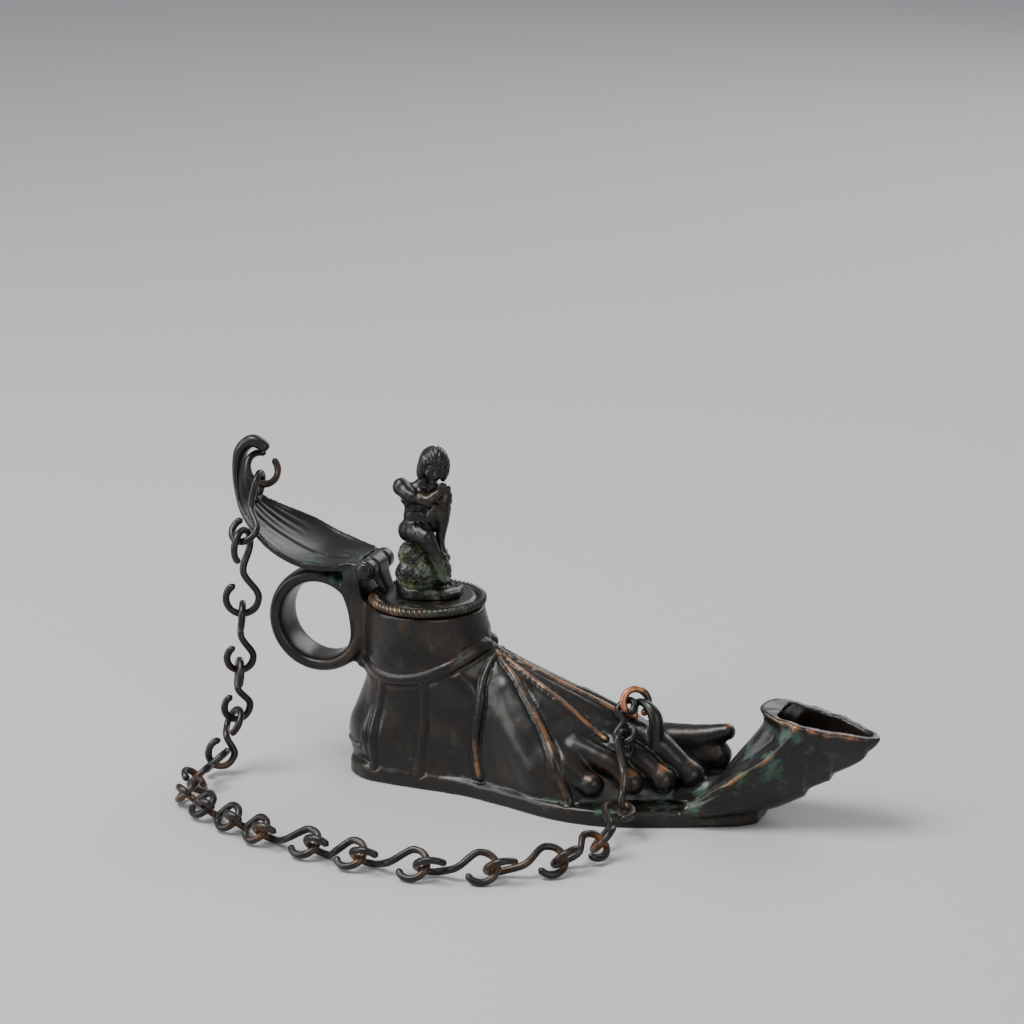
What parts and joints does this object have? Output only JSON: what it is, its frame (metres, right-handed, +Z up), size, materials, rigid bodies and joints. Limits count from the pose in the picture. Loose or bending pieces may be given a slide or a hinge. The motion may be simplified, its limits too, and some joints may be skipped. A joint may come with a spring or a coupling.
{
  "type": "oil lamp",
  "caption": "Cast bronze oil lamp shaped as a sandalled foot, with a long nozzle, ring handle, leaf thumb rest, hinged lid with a seated figure, and a wire chain.",
  "frame": {"origin": "on the underside of the sole, on its middle line, 70 mm from the back of the heel", "axes": "+X from the heel to the toes and nozzle, +Y to the big-toe side, +Z up; the sole rests on z = 0"},
  "size_m": [0.2046, 0.1085, 0.103],
  "materials": {
    "dark_bronze": "dark brown-black patinated bronze, worn warm brown on raised edges",
    "green_bronze": "bronze with a greenish-brown patina",
    "chain_bronze": "reddish-brown copper alloy wire, bright where it rubs",
    "worn_copper": "copper-coloured worn wire"
  },
  "bodies": {
    "lamp": {"lamp_body": "dark_bronze", "hinge_pin": "chain_bronze", "chain_link_01": "chain_bronze", "chain_link_02": "chain_bronze", "chain_link_03": "chain_bronze", "chain_link_04": "chain_bronze", "chain_link_05": "chain_bronze", "chain_link_06": "chain_bronze", "chain_link_07": "chain_bronze", "chain_link_08": "chain_bronze", "chain_link_09": "chain_bronze", "chain_link_10": "chain_bronze", "chain_link_11": "chain_bronze", "chain_link_12": "chain_bronze", "chain_link_13": "chain_bronze", "chain_link_14": "chain_bronze", "chain_link_15": "chain_bronze", "chain_link_16": "chain_bronze", "chain_link_17": "chain_bronze", "chain_link_18": "chain_bronze", "chain_link_19": "chain_bronze", "chain_link_20": "chain_bronze", "chain_link_21": "worn_copper"},
    "lid": {"lid": "dark_bronze", "seated_figure": "green_bronze"}
  },
  "joints": [
    {"name": "lid_hinge", "type": "hinge", "parent": "lamp", "child": "lid", "pos_m": [-0.0622, 0, 0.065], "axis": [0, -1, 0], "range_deg": [0, 60]}
  ]
}
